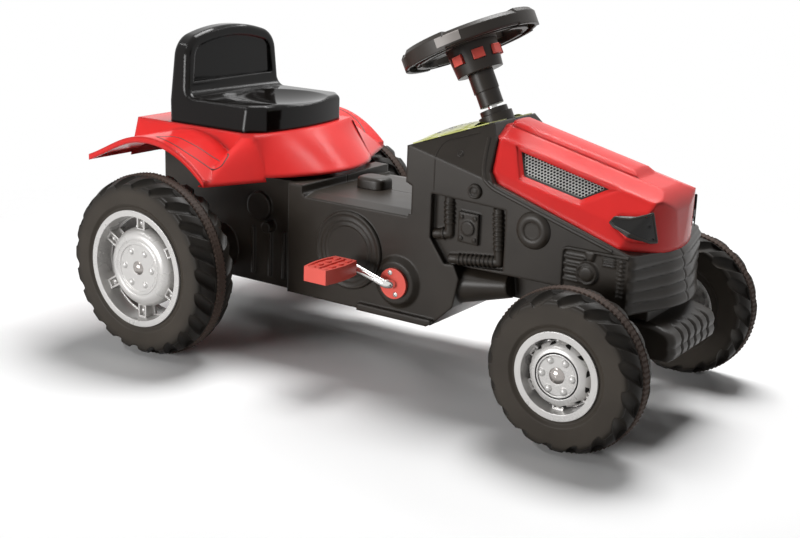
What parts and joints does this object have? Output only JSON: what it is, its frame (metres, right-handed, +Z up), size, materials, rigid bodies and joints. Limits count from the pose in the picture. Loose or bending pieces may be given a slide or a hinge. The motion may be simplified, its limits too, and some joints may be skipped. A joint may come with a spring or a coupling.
{
  "type": "pedal tractor toy",
  "caption": "Child's ride-on pedal tractor: two-half shell, hood, seat on fenders, chain-driven rear axle, pedals, and a steering column that turns the front wheels.",
  "frame": {"origin": "centre of the bounding rectangle on the floor", "axes": "+X forward along the tractor, +Y to the rider's left, +Z up"},
  "size_m": [0.825, 0.5112, 0.4776],
  "materials": {
    "black_shell": "semi-gloss blow-moulded shell",
    "black_part": "satin moulding",
    "red_shell": "glossy moulding",
    "red_trim": "semi-gloss moulding",
    "seat": "high gloss moulding",
    "steering_grip": "satin moulding",
    "dash": "printed sheet",
    "grille_backing": "matte",
    "grille_mesh": "silvery perforated sheet",
    "lamp": "smoked gloss",
    "tyre": "satin hollow moulding",
    "tread_band": "matt rubber strip",
    "rim": "silver-grey moulding",
    "bright_cap": "bright plated cap",
    "steel": "bright rolled steel",
    "bright_steel": "plated bent rod"
  },
  "bodies": {
    "chassis": {"bearing_plate_left": "red_trim", "bearing_plate_right": "red_trim", "body_half_left": "black_shell", "body_half_right": "black_shell", "bridge_cover": "black_part", "column_lower_bush": "black_part", "dash_bush": "black_part", "dash_panel": "dash", "drive_chain": "steel", "fender_seat_base": "red_shell", "front_axle_beam": "black_part", "front_weight_block": "black_part", "grille_mesh_left": "grille_mesh", "grille_mesh_right": "grille_mesh", "grille_panel_left": "grille_backing", "grille_panel_right": "grille_backing", "headlight_left": "lamp", "headlight_right": "lamp", "hood": "red_shell", "rear_axle_bushes": "black_part", "seat": "seat", "tow_hitch": "black_part"},
    "steering": {"steering_wheel": "steering_grip", "steering_hub_housing": "black_part", "column_sleeve": "black_part", "steering_rod": "steel", "column_collar": "black_part"},
    "crank": {"pedal_crank": "bright_steel", "crank_sprocket": "steel"},
    "rear_drive": {"rear_axle": "steel", "rear_sprocket": "steel", "rear_axle_nuts": "steel", "tyre_rear_right": "tyre", "tread_band_rear_right": "tread_band", "rim_rear_right": "rim", "hub_cap_rear_right": "bright_cap"},
    "rear_wheel_left": {"tyre_rear_left": "tyre", "tread_band_rear_left": "tread_band", "rim_rear_left": "rim", "hub_cap_rear_left": "bright_cap"},
    "front_wheel_right": {"tyre_front_right": "tyre", "tread_band_front_right": "tread_band", "rim_front_right": "rim", "hub_cap_front_right": "bright_cap"},
    "front_wheel_left": {"tyre_front_left": "tyre", "tread_band_front_left": "tread_band", "rim_front_left": "rim", "hub_cap_front_left": "bright_cap"},
    "knuckle_right": {"knuckle_right": "black_part", "front_axle_nut_right": "steel"},
    "knuckle_left": {"knuckle_left": "black_part", "front_axle_nut_left": "steel"},
    "track_rod": {"tie_rod": "steel"},
    "pedal_right": {"pedal_right": "red_trim"},
    "pedal_left": {"pedal_left": "red_trim"},
    "key_1": {"steering_key_1": "red_trim"},
    "key_2": {"steering_key_2": "red_trim"},
    "key_3": {"steering_key_3": "red_trim"},
    "key_4": {"steering_key_4": "red_trim"},
    "key_5": {"steering_key_5": "red_trim"}
  },
  "joints": [
    {"name": "pedal_crank_turn", "type": "hinge", "parent": "chassis", "child": "crank", "pos_m": [0.0345, 0, 0.13], "axis": [0, 1, 0], "continuous": true, "deforming": ["drive_chain"]},
    {"name": "rear_axle_turn", "type": "hinge", "parent": "chassis", "child": "rear_drive", "pos_m": [-0.2755, 0, 0.122], "axis": [0, 1, 0], "continuous": true, "deforming": ["drive_chain"]},
    {"name": "rear_wheel_left_turn", "type": "hinge", "parent": "chassis", "child": "rear_wheel_left", "pos_m": [-0.2755, 0.2216, 0.122], "axis": [0, 1, 0], "continuous": true},
    {"name": "pedal_right_turn", "type": "hinge", "parent": "crank", "child": "pedal_right", "pos_m": [-0.02618, -0.162, 0.14694], "axis": [0, 1, 0], "continuous": true},
    {"name": "pedal_left_turn", "type": "hinge", "parent": "crank", "child": "pedal_left", "pos_m": [0.09518, 0.162, 0.11306], "axis": [0, 1, 0], "continuous": true},
    {"name": "steering_turn", "type": "hinge", "parent": "chassis", "child": "steering", "pos_m": [0.0635, 0, 0.43], "axis": [-0.4384, 0, 0.8988], "range_deg": [-50, 50]},
    {"name": "knuckle_right_turn", "type": "hinge", "parent": "chassis", "child": "knuckle_right", "pos_m": [0.3145, -0.108, 0.0965], "axis": [0, 0, 1], "range_deg": [-20.75, 20.75]},
    {"name": "knuckle_left_turn", "type": "hinge", "parent": "chassis", "child": "knuckle_left", "pos_m": [0.3145, 0.108, 0.0965], "axis": [0, 0, 1], "range_deg": [-20.75, 20.75]},
    {"name": "track_rod_slide", "type": "slide", "parent": "chassis", "child": "track_rod", "axis": [0, 1, 0], "range_m": [-0.02302, 0.02302]},
    {"name": "front_wheel_right_turn", "type": "hinge", "parent": "knuckle_right", "child": "front_wheel_right", "pos_m": [0.3145, -0.1697, 0.0965], "axis": [0, 1, 0], "continuous": true},
    {"name": "front_wheel_left_turn", "type": "hinge", "parent": "knuckle_left", "child": "front_wheel_left", "pos_m": [0.3145, 0.1697, 0.0965], "axis": [0, 1, 0], "continuous": true},
    {"name": "key_1_press", "type": "slide", "parent": "steering", "child": "key_1", "axis": [0.1561, 0.9848, 0.0761], "range_m": [0, 0.003], "stiffness_N_per_m": 400},
    {"name": "key_2_press", "type": "slide", "parent": "steering", "child": "key_2", "axis": [-0.5777, 0.766, -0.2818], "range_m": [0, 0.003], "stiffness_N_per_m": 400},
    {"name": "key_3_press", "type": "slide", "parent": "steering", "child": "key_3", "axis": [-0.8988, 0, -0.4384], "range_m": [0, 0.003], "stiffness_N_per_m": 400},
    {"name": "key_4_press", "type": "slide", "parent": "steering", "child": "key_4", "axis": [-0.5777, -0.766, -0.2818], "range_m": [0, 0.003], "stiffness_N_per_m": 400},
    {"name": "key_5_press", "type": "slide", "parent": "steering", "child": "key_5", "axis": [0.1561, -0.9848, 0.0761], "range_m": [0, 0.003], "stiffness_N_per_m": 400}
  ],
  "couplings": [
    {"joint": "rear_axle_turn", "follows": "pedal_crank_turn", "ratio": 1.5},
    {"joint": "knuckle_right_turn", "follows": "steering_turn", "ratio": 0.4141},
    {"joint": "knuckle_left_turn", "follows": "steering_turn", "ratio": 0.4141},
    {"joint": "track_rod_slide", "follows": "steering_turn", "m_per_rad": -0.026335}
  ]
}
